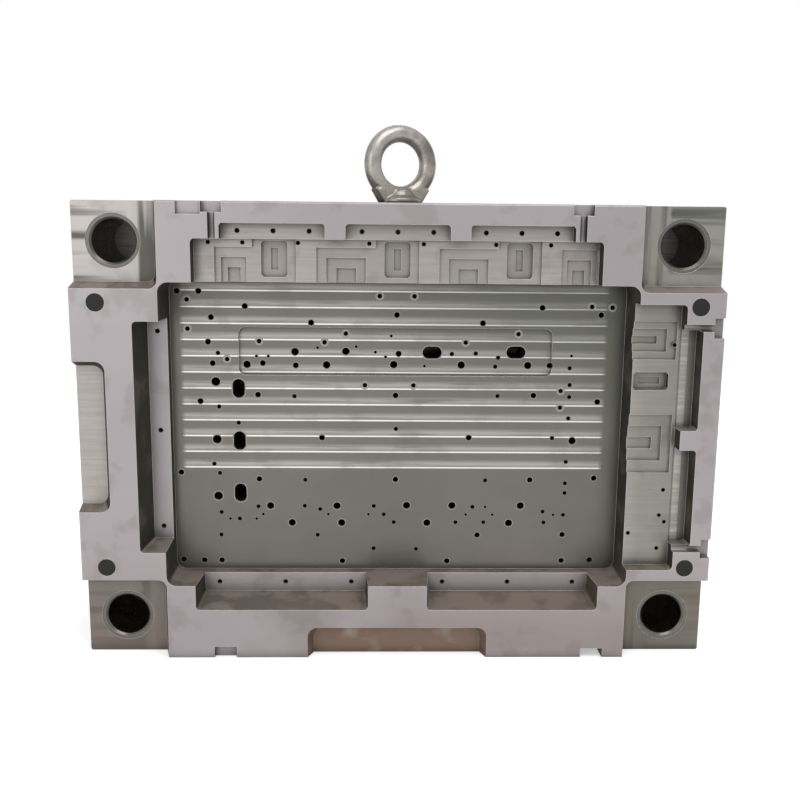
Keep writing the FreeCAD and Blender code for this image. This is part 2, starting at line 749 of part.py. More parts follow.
def eyebolt():
    """A forged lifting eye: ring, web, flared neck, collar and threaded shank in one piece."""
    ring_r = (eye_outer_d + eye_inner_d) / 4
    wire_r = (eye_outer_d - eye_inner_d) / 4
    centre = V(0, eye_y, plate_height + eye_height - eye_outer_d / 2)
    turns = [2 * math.pi * i / eye_section_sides for i in range(eye_section_sides + 1)]
    section = Part.makePolygon([centre + V(ring_r + wire_r * math.cos(a), wire_r * math.sin(a), 0)
                                for a in turns])
    ring = Part.Face(section).revolve(centre, V(0, 1, 0), 360)
    collar = upright_rod(0, eye_y, eye_collar_d, plate_height, plate_height + eye_collar)
    neck = Part.makeCone(eye_collar_d / 2 - edge_chamfer, eye_neck_d / 2, eye_neck_height - eye_collar,
                         V(0, eye_y, plate_height + eye_collar))
    window = Part.makeCylinder(eye_inner_d / 2, eye_collar_d, centre - V(0, eye_collar_d / 2, 0), V(0, 1, 0))
    shank = upright_rod(0, eye_y, eye_thread_d, plate_height - eye_thread_length, plate_height)
    corners_of_web = [V(half, eye_y - eye_web_thickness / 2, plate_height + height) for half, height in
                      ((-eye_web_base / 2, 0), (eye_web_base / 2, 0), (eye_web_top / 2, eye_web_height),
                       (-eye_web_top / 2, eye_web_height), (-eye_web_base / 2, 0))]
    web = Part.Face(Part.makePolygon(corners_of_web)).extrude(V(0, eye_web_thickness, 0))
    body = ring.fuse([collar, neck.cut(window), web.cut(window), shank]).removeSplitter()
    body.rotate(centre, V(0, 0, 1), eye_turn)
    return body


# ---------------------------------------------------------------- export
def pieces():
    """Every sub-part by its name."""
    made = {
        "core_plate": core_plate(),
        "guide_bushes": Part.makeCompound([guide_bush(x, z) for x, z in mirrored(guide_x, guide_z)]),
        "eyebolt": eyebolt(),
        "spacer_block_lower": spacer_block(0),
        "spacer_block_upper": spacer_block(plate_height - spacer_width),
        "clamp_plate": clamp_plate(),
        "support_pillars": Part.makeCompound([support_pillar(x, z) for x, z in mirrored(pillar_x, pillar_z)]),
        "stop_buttons": stop_buttons(),
        "clamp_screws": clamp_screws(),
        "pillar_screws": pillar_screws(),
        "dowels": dowels(),
        "ejector_retainer_plate": ejector_retainer_plate(),
        "ejector_backing_plate": ejector_backing_plate(),
        "ejector_plate_screws": ejector_plate_screws(),
    }
    for corner, (sx, sz) in corners.items():
        x, z = sx * return_x, middle_z + sz * return_z
        made[f"return_pin_{corner}"] = return_pin(x, z)
        made[f"return_spring_{corner}"] = return_spring(x, z)
    return made


os.makedirs("parts", exist_ok=True)
for node, shape in pieces().items():
    shape.exportStep(f"parts/{node}.step")
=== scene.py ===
import math
import bmesh
import bpy
from mathutils import Euler, Matrix, Vector


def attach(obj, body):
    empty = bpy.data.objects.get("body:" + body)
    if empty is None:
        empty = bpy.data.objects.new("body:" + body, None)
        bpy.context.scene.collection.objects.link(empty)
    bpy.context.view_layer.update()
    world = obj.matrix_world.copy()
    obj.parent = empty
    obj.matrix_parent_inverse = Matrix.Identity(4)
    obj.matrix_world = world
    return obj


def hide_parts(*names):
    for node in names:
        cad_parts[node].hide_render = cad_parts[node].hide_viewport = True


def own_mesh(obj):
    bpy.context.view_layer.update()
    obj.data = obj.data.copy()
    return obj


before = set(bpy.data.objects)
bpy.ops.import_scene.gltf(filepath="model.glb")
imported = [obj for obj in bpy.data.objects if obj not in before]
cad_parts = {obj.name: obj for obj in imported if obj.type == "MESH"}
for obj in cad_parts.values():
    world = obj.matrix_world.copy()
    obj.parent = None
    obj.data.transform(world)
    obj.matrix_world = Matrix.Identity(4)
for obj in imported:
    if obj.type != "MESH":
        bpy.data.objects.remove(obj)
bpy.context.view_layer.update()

# ---------------------------------------------------------------- places on the mould, in metres
FACE = -0.155          # parting face
POCKET = -0.080        # floor of the insert pocket
RELIEF = -0.075        # shallow relief in that floor
SEAT = -0.130          # floors of the slide seats
LEDGE = -0.098         # ledges of the heel slots
CORNER = -0.127        # floors of the corner locks
CORE_BACK = -0.005
CLAMP_BACK = 0.155
SIDE = 0.450           # left and right edges of the plates
MIDDLE = 0.325         # half the plates' height
TOP = 0.650
EYE_Y = -0.080         # the lifting eye stands over the middle of the core plate
RETURN_X = 0.414       # return pins, from the plate's middle
RETURN_Z = 0.188
CUSP_LOW = 0.2650      # lowest cusp line that the cutter left on the pocket's floor
CUSP_STEP = 0.02365
HAIR = 0.00008         # how far a drawn mouth stands off the face it lies on

# ---------------------------------------------------------------- shader maths
class Value:
    """One output socket, used in plain Python sums."""

    def __init__(self, finish, socket):
        self.finish = finish
        self.socket = socket

    def sum(self, operation, *others):
        inputs = dict(enumerate([self, *others]))
        return self.finish.node("ShaderNodeMath", {"operation": operation}, inputs)

    def __add__(self, other):
        return self.sum("ADD", other)

    def __radd__(self, other):
        return self.sum("ADD", other)

    def __sub__(self, other):
        return self.sum("SUBTRACT", other)

    def __rsub__(self, other):
        return (self * -1) + other

    def __mul__(self, other):
        return self.sum("MULTIPLY", other)

    def __rmul__(self, other):
        return self.sum("MULTIPLY", other)

    def __truediv__(self, other):
        return self.sum("DIVIDE", other)

    def __abs__(self):
        return self.sum("ABSOLUTE")

    def clamp(self):
        return self.sum("MAXIMUM", 0.0).sum("MINIMUM", 1.0)

    def above(self, level, soft=0.001):
        """0 below level, 1 above it, with a soft step."""
        return ((self - level) * (1 / soft) + 0.5).clamp()

    def within(self, low, high, soft=0.001):
        return self.above(low, soft) * (1 - self.above(high, soft))


class Finish:
    """A material and its node tree."""

    def __init__(self, name, metallic=1.0, roughness=0.4):
        self.material = bpy.data.materials.new(name)
        self.material.use_nodes = True
        self.tree = self.material.node_tree
        self.shader = self.tree.nodes["Principled BSDF"]
        self.shader.inputs["Metallic"].default_value = metallic
        self.shader.inputs["Roughness"].default_value = roughness

    def node(self, kind, settings, inputs, output=0):
        made = self.tree.nodes.new(kind)
        for name, value in settings.items():
            setattr(made, name, value)
        for key, value in inputs.items():
            self.plug(made.inputs[key], value)
        return Value(self, made.outputs[output])

    def plug(self, socket, value):
        if isinstance(value, Value):
            self.tree.links.new(value.socket, socket)
        else:
            socket.default_value = value

    def give(self, name, value):
        self.plug(self.shader.inputs[name], value)

    def place(self):
        """The Object coordinates as a vector, and as its three numbers."""
        where = self.node("ShaderNodeTexCoord", {}, {}, "Object")
        split = [self.node("ShaderNodeSeparateXYZ", {}, {0: where}, i) for i in range(3)]
        return where, *split

    def turned_to(self):
        """The three parts of the surface's own direction."""
        facing = self.node("ShaderNodeTexCoord", {}, {}, "Normal")
        return [self.node("ShaderNodeSeparateXYZ", {}, {0: facing}, i) for i in range(3)]

    def noise(self, where, scale, stretch=(1, 1, 1), detail=3.0):
        spread = self.node("ShaderNodeVectorMath", {"operation": "MULTIPLY"}, {0: where, 1: stretch})
        return self.node("ShaderNodeTexNoise", {}, {"Vector": spread, "Scale": scale, "Detail": detail})

    def blend(self, mask, first, second, how="MIX"):
        """first where mask is 0 and second where it is 1."""
        return self.node("ShaderNodeMix", {"data_type": "RGBA", "blend_type": how},
                         {0: mask, 6: first, 7: second}, 2)

    def darken(self, colour, amount):
        """colour times a number that changes over the surface."""
        grey = self.node("ShaderNodeCombineXYZ", {}, {0: amount, 1: amount, 2: amount})
        return self.blend(1.0, colour, grey, "MULTIPLY")

    def bump(self, height, strength, distance, under=None):
        inputs = {"Height": height, "Strength": strength, "Distance": distance}
        if under:
            inputs["Normal"] = under
        return self.node("ShaderNodeBump", {}, inputs, "Normal")

    def rounded(self, radius):
        """The surface's direction with its edges rounded off."""
        return self.node("ShaderNodeBevel", {"samples": 6}, {"Radius": radius})

    def edge(self, rounded):
        """1 on an edge, 0 on the flat."""
        flat = self.node("ShaderNodeNewGeometry", {}, {}, "True Normal")
        same = self.node("ShaderNodeVectorMath", {"operation": "DOT_PRODUCT"},
                         {0: rounded, 1: flat}, "Value")
        return ((1 - same) * 6.0).clamp()

    def nearby(self, distance):
        """1 in the open, falling towards 0 in corners and holes."""
        return self.node("ShaderNodeAmbientOcclusion", {"samples": 6}, {"Distance": distance}, "AO")


def tone(code):
    """A display colour as the linear colour that a socket takes."""
    parts = [int(code[i:i + 2], 16) / 255 for i in (0, 2, 4)]
    return [p / 12.92 if p < 0.04045 else ((p + 0.055) / 1.055) ** 2.4 for p in parts] + [1.0]


# ---------------------------------------------------------------- finishes
def floor_passes(f, x, z, streak):
    """Tone of the pocket's floor, with a painted highlight on its raised cusp lines and painted sheen on
    the wide passes; dull below them.
    """
    turn = (z - CUSP_LOW) / CUSP_STEP
    phase = turn - turn.sum("FLOOR")
    cusp = phase.within(0.0, 0.09, 0.05)
    painted_sheen = phase.within(0.12, 0.45, 0.25)
    passes = z.above(0.262, 0.004) * x.within(-0.314, 0.302, 0.006)
    # painted sheen on the passes, and a painted highlight on the cusp lines
    skin = f.blend(painted_sheen * streak.within(0.35, 1.2, 0.3), tone("6f6e68"), tone("a29f9a"))
    skin = f.blend(cusp, skin, tone("eceae6"))
    skin = f.blend(1 - passes, skin, tone("6b6963"))
    skin = f.blend(x.above(0.06, 0.25) * z.above(0.40, 0.18) * 0.55, skin, tone("565a4d"))
    return skin, cusp * passes


def corner_milling(f, where, x, z):
    """Coarse milling of the corner locks: upright near the plate's middle and level outside."""
    upright = f.noise(where, 30.0, (2.2, 1, 0.10), 2.0)
    level = f.noise(where, 30.0, (0.10, 1, 2.2), 2.0)
    inner = 1 - abs(x).above(0.372, 0.008)
    stripe = upright * inner + level * (1 - inner)
    skin = f.blend(stripe.within(0.46, 0.9, 0.16), tone("54524c"), tone("a5a19e"))
    skin = f.blend((1 - z.above(0.3, 0.01)) * 0.75, skin, tone("5b554f"))
    return skin, stripe


def seat_milling(f, x, y, front, streak):
    """Slide seats: finer, greener and darker as they step down, with a painted highlight along one rail."""
    step = ((y - SEAT) * 40.0).clamp()
    skin = f.blend(step, tone("a39d99"), tone("74726a"))
    # painted highlight: a bright strip along one rail
    rail_highlight = x.within(0.399, 0.409, 0.001) * y.above(CORNER + 0.0005, 0.001) * front
    skin = f.blend(rail_highlight, skin, tone("e2dfda"))
    return f.blend(streak.within(0.48, 0.9, 0.2) * 0.5, skin, tone("918e89"))


def stained(f, skin, place, broad, cloud):
    """Rust and oil, mostly low down and in the bottom notch."""
    x, y, z = place
    notch = abs(x).within(-1.0, 0.134, 0.006) * (1 - z.above(0.050, 0.006))
    notch = notch * y.above(FACE + 0.001, 0.001)
    skin = f.blend(notch * cloud.within(0.36, 1.2, 0.25) * 0.85, skin, tone("6b4a36"))
    low = (1 - z.above(0.10, 0.12)) * broad.within(0.47, 1.2, 0.12)
    skin = f.blend(low * 0.45, skin, tone("77685c"))
    return f.blend(cloud.within(0.60, 1.2, 0.1) * 0.25, skin, tone("6d6660"))


def milled_core_steel():
    """The core plate: ground face, milled floors, walls painted dark as shade and light where they look up,
    rust low down.
    """
    f = Finish("milled_core_steel")
    where, x, y, z = f.place()
    nx, ny, nz = f.turned_to()
    front = (ny * -1).above(0.6, 0.2)
    up = nz.above(0.6, 0.2)
    broad = f.noise(where, 5.0, detail=4.0)
    cloud = f.noise(where, 22.0, detail=4.0)
    speck = f.noise(where, 260.0, detail=2.0)
    streak = f.noise(where, 9.0, (1, 1, 26), 2.0)

    # painted shade and light: walls are painted dark as the shade round them, and those that look up are
    # painted light as lit from above
    painted_wall_shade = f.blend(up, tone("1f2019"), tone("82776f"))
    painted_wall_shade = f.blend(cloud.within(0.52, 0.7, 0.1) * 0.5, painted_wall_shade, tone("3f362b"))
    skin = f.blend(front, painted_wall_shade, tone("9c9698"))
    outside = abs(x).above(SIDE - 0.0015, 0.001) + abs(z - MIDDLE).above(MIDDLE - 0.0015, 0.001)
    skin = f.blend(outside.clamp() * (1 - front), skin, tone("7b7774"))

    # the floors that lie below the face
    floor = front * y.within(POCKET - 0.001, RELIEF + 0.001, 0.001)
    floor_tone, ridge = floor_passes(f, x, z, streak)
    skin = f.blend(floor, skin, floor_tone)
    corner = front * y.within(CORNER - 0.0015, CORNER + 0.0015, 0.001) * abs(x).above(0.315, 0.002)
    corner = corner * abs(z - MIDDLE).above(0.2, 0.002)
    corner_tone, stripe = corner_milling(f, where, x, z)
    skin = f.blend(corner, skin, corner_tone)
    seat = front * y.within(SEAT - 0.009, LEDGE - 0.0025, 0.001) * (1 - corner)
    skin = f.blend(seat, skin, seat_milling(f, x, y, front, streak))
    face = front * (1 - y.above(FACE + 0.001, 0.001))
    skin = f.blend(front * x.above(0.33, 0.04) * (1 - face) * 0.45, skin, tone("5f6457"))
    skin = stained(f, skin, (x, y, z), broad, cloud)

    # bright edges as painted highlights, dark corners as painted shade, hole walls painted black as shade
    soft = f.rounded(0.0009)
    skin = f.blend(f.edge(soft) * 0.85, skin, tone("e9e6e2"))
    skin = f.darken(skin, (f.nearby(0.020) * 1.15 + 0.05).clamp() * (broad * 0.30 + 0.86))
    # painted shade: the walls of holes below the relief floor are painted near black
    within_plate = (1 - outside.clamp()) * (1 - y.above(CORE_BACK - 0.0005, 0.0002))
    hole = y.above(RELIEF + 0.0006, 0.0004) * within_plate
    f.give("Base Color", f.blend(hole, skin, tone("0b0a09")))
    f.give("Metallic", front * 0.45 + 0.20)
    f.give("Roughness", cloud * 0.22 + 0.30 + (1 - front) * 0.30)
    grain = speck * 0.4 + streak * 0.4 + stripe * corner * 2.0 + ridge * floor * -1.2
    f.give("Normal", f.bump(grain, 0.35, 0.0006, soft))
    return f.material


def ground_plate_steel():
    """Spacers, clamp plate and ejector plates: ground, oiled, a little stained."""
    f = Finish("ground_plate_steel")
    where, x, y, z = f.place()
    grind = f.noise(where, 14.0, (1, 1, 30), 3.0)
    cloud = f.noise(where, 9.0, detail=5.0)
    fine = f.noise(where, 420.0, detail=2.0)
    skin = f.blend(grind.within(0.42, 0.9, 0.3), tone("7f7c78"), tone("a29e99"))
    skin = f.blend(cloud.within(0.55, 1.2, 0.12) * 0.45, skin, tone("6f6456"))
    skin = f.blend((1 - z.above(0.06, 0.10)) * cloud * 0.5, skin, tone("735f4c"))
    # painted highlights on the edges, and painted shade in corners and holes
    soft = f.rounded(0.0009)
    skin = f.blend(f.edge(soft) * 0.7, skin, tone("d8d5d0"))
    skin = f.darken(skin, (f.nearby(0.03) * 1.1 + 0.10).clamp())
    f.give("Base Color", skin)
    f.give("Metallic", 0.65)
    f.give("Roughness", cloud * 0.25 + 0.28)
    f.give("Normal", f.bump(grind * 0.6 + fine * 0.4, 0.25, 0.0004, soft))
    return f.material


def hardened_bush_steel():
    """Guide bushes, pins and pillars: fine ground; their bores and sides are painted dark as shade, with
    brown patches.
    """
    f = Finish("hardened_bush_steel")
    where, x, y, z = f.place()
    nx, ny, nz = f.turned_to()
    ring = f.noise(where, 160.0, (1, 1, 1), 2.0)
    front = (ny * -1).above(0.5, 0.2)
    cloud = f.noise(where, 30.0, detail=3.0)
    # painted shade: faces that do not look out, the bores among them, are painted near black
    skin = f.blend(front, tone("201d15"), tone("66645f"))
    skin = f.blend(cloud.within(0.45, 0.9, 0.2) * 0.5 * (1 - front), skin, tone("4d3d2a"))
    # painted highlights on the edges, and painted shade in corners
    soft = f.rounded(0.0006)
    skin = f.blend(f.edge(soft) * 0.6, skin, tone("b9b6b2"))
    skin = f.darken(skin, (f.nearby(0.03) * 1.2 + 0.15).clamp())
    f.give("Base Color", skin)
    f.give("Metallic", 0.7)
    f.give("Roughness", ring * 0.15 + 0.22)
    f.give("Normal", f.bump(ring, 0.15, 0.0002, soft))
    return f.material


def return_pin_steel():
    """Return pins: bright shank, and an end flush in the face that is painted near black as the shade of an
    empty bore.
    """
    f = Finish("return_pin_steel")
    where, x, y, z = f.place()
    # painted shade: the pin's end is painted near black, as an empty bore would look
    end = 1 - y.above(FACE + 0.004, 0.002)
    grind = f.noise(where, 40.0, (1, 8, 1), 2.0)
    skin = f.blend(grind, tone("8b8884"), tone("aeaba6"))
    skin = f.blend(end, skin, tone("0e0d0c"))
    f.give("Base Color", skin)
    f.give("Metallic", 0.85 - end * 0.6)
    f.give("Roughness", grind * 0.1 + 0.2 + end * 0.4)
    return f.material


def forged_eye_steel():
    """The lifting eye: zinc gone grey, lighter in patches, browner low down, dark pits, and painted shade
    in its hollows.
    """
    f = Finish("forged_eye_steel")
    where, x, y, z = f.place()
    cloud = f.noise(where, 45.0, detail=5.0)
    pits = f.noise(where, 420.0, detail=3.0)
    broad = f.noise(where, 16.0, detail=2.0)
    skin = f.blend(cloud.within(0.40, 0.9, 0.3), tone("77746e"), tone("a5a19b"))
    skin = f.blend(broad.within(0.50, 1.2, 0.12) * 0.6, skin, tone("5e5a50"))
    skin = f.blend((1 - z.above(0.688, 0.03)) * 0.35, skin, tone("8a8075"))
    skin = f.blend(pits.within(0.63, 1.2, 0.06) * 0.5, skin, tone("4f453a"))
    # painted shade in the hollows
    skin = f.darken(skin, (f.nearby(0.012) * 1.1 + 0.05).clamp())
    f.give("Base Color", skin)
    f.give("Metallic", 0.8)
    f.give("Roughness", cloud * 0.2 + 0.24)
    f.give("Normal", f.bump(pits * 0.5 + cloud, 0.35, 0.0008))
    return f.material


def spring_paint():
    """Flat wire springs: red enamel, thin on the corners."""
    f = Finish("spring_paint", 0.0, 0.35)
    where, x, y, z = f.place()
    wear = f.noise(where, 240.0, detail=4.0)
    edge = f.edge(f.rounded(0.0005))
    skin = f.blend(wear.within(0.4, 0.9, 0.3), tone("8e2018"), tone("a8281d"))
    skin = f.blend((edge * (wear * 1.6)).clamp(), skin, tone("6d6a66"))
    f.give("Base Color", skin)
    f.give("Roughness", wear * 0.2 + 0.28)
    f.give("Normal", f.bump(wear, 0.15, 0.0003))
    return f.material


def black_screw_steel():
    """Cap screws: black oxide, grey on the rims, partly rubbed and partly a painted highlight."""
    f = Finish("black_screw_steel")
    where, x, y, z = f.place()
    speck = f.noise(where, 300.0, detail=3.0)
    soft = f.rounded(0.0006)
    skin = f.blend(speck.within(0.4, 0.9, 0.3), tone("242322"), tone("3a3836"))
    # grey rims: partly rubbed, partly a painted highlight
    skin = f.blend(f.edge(soft) * 0.6, skin, tone("8b8884"))
    f.give("Base Color", skin)
    f.give("Metallic", 0.6)
    f.give("Roughness", speck * 0.2 + 0.32)
    f.give("Normal", f.bump(speck, 0.2, 0.0003, soft))
    return f.material


def mouth_steel():
    """The bright countersink round a drilled hole."""
    f = Finish("mouth_steel")
    where, x, y, z = f.place()
    speck = f.noise(where, 500.0, detail=2.0)
    f.give("Base Color", f.blend(speck, tone("77746d"), tone("a5a19b")))
    f.give("Metallic", 0.7)
    f.give("Roughness", speck * 0.2 + 0.25)
    return f.material


def painted_hole_shade():
    """Painted shade: the dark inside of a drilled hole, on a disc laid where the hole is not cut."""
    f = Finish("painted_hole_shade", 0.0, 0.8)
    where, x, y, z = f.place()
    oil = f.noise(where, 350.0, detail=2.0)
    f.give("Base Color", f.blend(oil, tone("050404"), tone("0e0c0a")))
    f.give("Specular IOR Level", 0.0)
    return f.material


def pale_floor():
    """A pale floor that keeps the shadow, and reads white to the camera and in reflections."""
    f = Finish("pale_floor", 0.0, 0.9)
    where, x, y, z = f.place()
    grain = f.noise(where, 3.0, detail=2.0)
    f.give("Base Color", f.blend(grain, tone("f2f2f2"), tone("f8f8f8")))
    seen = f.node("ShaderNodeLightPath", {}, {}, "Is Camera Ray")
    mirrored = f.node("ShaderNodeLightPath", {}, {}, "Is Glossy Ray")
    f.give("Emission Color", f.blend(seen.sum("MAXIMUM", mirrored), [0, 0, 0, 1], [1, 1, 1, 1]))
    f.shader.inputs["Emission Strength"].default_value = 0.42
    return f.material


finishes = {
    "core": milled_core_steel(),
    "plate": ground_plate_steel(),
    "hard": hardened_bush_steel(),
    "pin": return_pin_steel(),
    "eye": forged_eye_steel(),
    "spring": spring_paint(),
    "screw": black_screw_steel(),
    "mouth": mouth_steel(),
    "hole": painted_hole_shade(),
    "floor": pale_floor(),
}


# ---------------------------------------------------------------- making pieces
def piece(name, bm, body, slot, *finish_names):
    """Turns a bmesh into a finished piece that rides on a body."""
    mesh = bpy.data.meshes.new(name)
    bm.to_mesh(mesh)
    bm.free()
    made = bpy.data.objects.new(name, mesh)
    bpy.context.scene.collection.objects.link(made)
    for finish in finish_names:
        mesh.materials.append(finishes[finish])
    if body:
        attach(made, body)
    return made


def facing(x, y, z, back=False):
    """Puts a flat shape drawn in XY onto a face that looks along -Y, or +Y for the back."""
    return Matrix.Translation((x, y, z)) @ Matrix.Rotation(math.radians(-90 if back else 90), 4, "X")


def mouth(bm, x, z, radius, face, rim, open_hole, stretch=(0, 0), back=False):
    """A round or slotted mouth: a bright ring, and a dark disc of painted hole shade unless the hole is
    really there.
    """
    off = HAIR if back else -HAIR
    drawn = bmesh.ops.create_circle(bm, cap_ends=True, cap_tris=False, segments=28, radius=radius + rim,
                                    matrix=facing(x, face + off, z, back))
    for v in drawn["verts"]:
        v.co.x += math.copysign(stretch[0], v.co.x - x)
        v.co.z += math.copysign(stretch[1], v.co.z - z)
    disc = drawn["verts"][0].link_faces[0]
    bmesh.ops.inset_individual(bm, faces=[disc], thickness=rim, use_even_offset=True)
    # the disc carries the painted hole shade
    disc.material_index = 1
    if open_hole:
        bmesh.ops.delete(bm, geom=[disc], context="FACES_ONLY")


def mouths(name, holes, radius, face, rim, open_hole=True, back=False, body="mould_frame"):
    """One piece with the mouths of a group of holes, listed in millimetres."""
    bm = bmesh.new()
    for x, z in holes:
        mouth(bm, x / 1000, z / 1000, radius, face, rim, open_hole, back=back)
    return piece(name, bm, body, "core_steel", "mouth", "hole")


def turned(bm, profile, centre, axis="Y", steps=48):
    """A lathe-turned shape; profile lists (radius, distance along the axis)."""
    along = Vector((0, 1, 0)) if axis == "Y" else Vector((0, 0, 1))
    verts = [bm.verts.new(centre + Vector((r, 0, 0)) + along * d) for r, d in profile]
    edges = [bm.edges.new(pair) for pair in zip(verts, verts[1:])]
    bmesh.ops.spin(bm, geom=verts + edges, cent=centre, axis=along, angle=2 * math.pi, steps=steps,
                   use_merge=True, use_normal_flip=False, use_duplicate=False)
    bmesh.ops.remove_doubles(bm, verts=bm.verts, dist=1e-6)


# ---------------------------------------------------------------- hole mouths on the core plate
floor_rows = {
    "core_pin": (0.0055, [(-221, 94), (-105, 94), (-7, 95), (92, 95), (190, 95), (-189, -118), (-90, -118),
                          (14, -117), (82, -117), (185, -117), (-157, -144), (-83, -144), (45, -144),
                          (168, -144), (259, -17), (-151, 113), (-77, 114)]),
    "insert_screw": (0.00425, [(-319, 200), (-288, 200), (-222, 179), (-271, 163), (-276, 127), (-127, 156),
                               (-3, 168), (122, 157), (208, 180), (294, 170), (294, 42), (294, -74),
                               (293, -202), (-198, 96), (-150, 93), (-270, 96), (222, 95), (0, 111),
                               (-289, 40), (-205, 50), (-4, 50), (199, 51), (-112, -14), (105, -13),
                               (-320, -67), (-205, -77), (-3, -77), (198, -77), (121, -163), (250, -162),
                               (-320, -202), (-289, -203), (-263, -203), (-82, -204), (76, -204),
                               (250, -203)]),
    "stud": (0.0065, [(-266, 69), (-266, -17), (-266, -103)]),
}
ejector_pin_holes = [(113, 437), (-262, 436), (78, 436), (146, 431), (142, 418), (251, 417), (252, 392),
                     (146, 375), (252, 374), (-152, 373), (-262, 357), (252, 342), (-234, 333), (-3, 325),
                     (229, 312), (251, 276), (-271, 271), (-263, 257), (-137, 247), (131, 247), (251, 243),
                     (251, 228), (-138, 207), (-35, 207), (-207, 206), (113, 206), (-115, 202), (219, 199),
                     (-262, 197), (-20, 194), (250, 194), (-235, 187), (-5, 182), (88, 182), (130, 182),
                     (221, 182), (-263, 162), (-119, 162), (-35, 141), (29, 140)]
small_pin_holes = [(-11, 462), (-62, 446), (-118, 444), (-34, 438), (253, 435), (-207, 431), (-190, 431),
                   (-19, 431), (38, 418), (132, 206), (-200, 194), (-103, 194), (-43, 194), (103, 194),
                   (143, 194), (235, 194), (-249, 187), (-210, 187)]
bushed_holes = [(-28, 520), (22, 520), (-305, 513), (280, 507), (310, 506), (-305, 471), (175, 466),
                (-77, 465), (-203, 453), (98, 453), (-108, 452), (-249, 427), (-49, 390), (22, 390),
                (239, 383), (239, 358)]
top_seat_holes = [(-264, 595), (-217, 595), (-141, 595), (-43, 595), (32, 595), (132, 595), (208, 595)]
side_seat_holes = [(388, 458), (384, 247), (380, 209), (388, 199), (336, 182), (379, 159)]


def floor_level(x, z):
    """Where the pocket's floor lies at a place in millimetres: the relief is a little deeper."""
    return RELIEF if -232 < x < 224 and 404 < z < 474 else POCKET


def floor_mouths():
    """Mouths of every hole in the pocket's floor, on the floor or in its relief."""
    for name, (radius, places) in floor_rows.items():
        bm = bmesh.new()
        for x, z in places:
            level = floor_level(x, z + 1000 * MIDDLE)
            mouth(bm, x / 1000, z / 1000 + MIDDLE, radius, level, radius * 0.2, True)
        piece(name + "_mouths", bm, "mould_frame", "core_steel", "mouth", "hole")
    # these holes are only drawn: a ring round a dark disc of painted shade
    drawn = {"ejector_pin_holes": (ejector_pin_holes, 0.0032, 0.0004),
             "small_pin_holes": (small_pin_holes, 0.0021, 0.0004),
             "bushed_holes": (bushed_holes, 0.0034, 0.0030)}
    for name, (places, radius, rim) in drawn.items():
        bm = bmesh.new()
        for x, z in places:
            mouth(bm, x / 1000, z / 1000, radius, floor_level(x, z), rim, False)
        piece(name, bm, "mould_frame", "core_steel", "mouth", "hole")


def slot_mouths():
    """Mouths of the upright and the level service slots."""
    radius, rim, reach = 0.009, 0.0014, 0.005
    bm = bmesh.new()
    for x, z in ((-233, 59), (-233, -19), (-233, -98)):
        level = floor_level(x, z + 1000 * MIDDLE)
        mouth(bm, x / 1000, z / 1000 + MIDDLE, radius, level, rim, True, (0, reach))
    for x, z in ((49, 113), (172, 114)):
        mouth(bm, x / 1000, z / 1000 + MIDDLE, radius, RELIEF, rim, True, (reach, 0))
    piece("service_slot_mouths", bm, "mould_frame", "core_steel", "mouth", "hole")


def seat_mouths():
    """Screw mouths of gibs and ledges, and the small holes in the slide seats."""
    gibs = [(-4 + 170 * i + 49 * j, 611) for i in (-1, 0, 1) for j in (-1, 0, 1)]
    mouths("gib_screw_mouths", gibs, 0.0034, FACE + 0.018, 0.0009)
    ledges = [(-344, 325 + 144 * i) for i in (-1, 0, 1)]
    ledges += [(s * 166 + 98 * i, 95) for s in (-1, 1) for i in (-1, 0, 1)]
    mouths("ledge_screw_mouths", ledges, 0.0034, LEDGE, 0.0009)
    # the seat holes are drawn as dark discs of painted shade
    mouths("top_seat_holes", top_seat_holes, 0.0030, SEAT, 0.0006, False)
    mouths("side_seat_holes", side_seat_holes, 0.0030, SEAT, 0.0006, False)


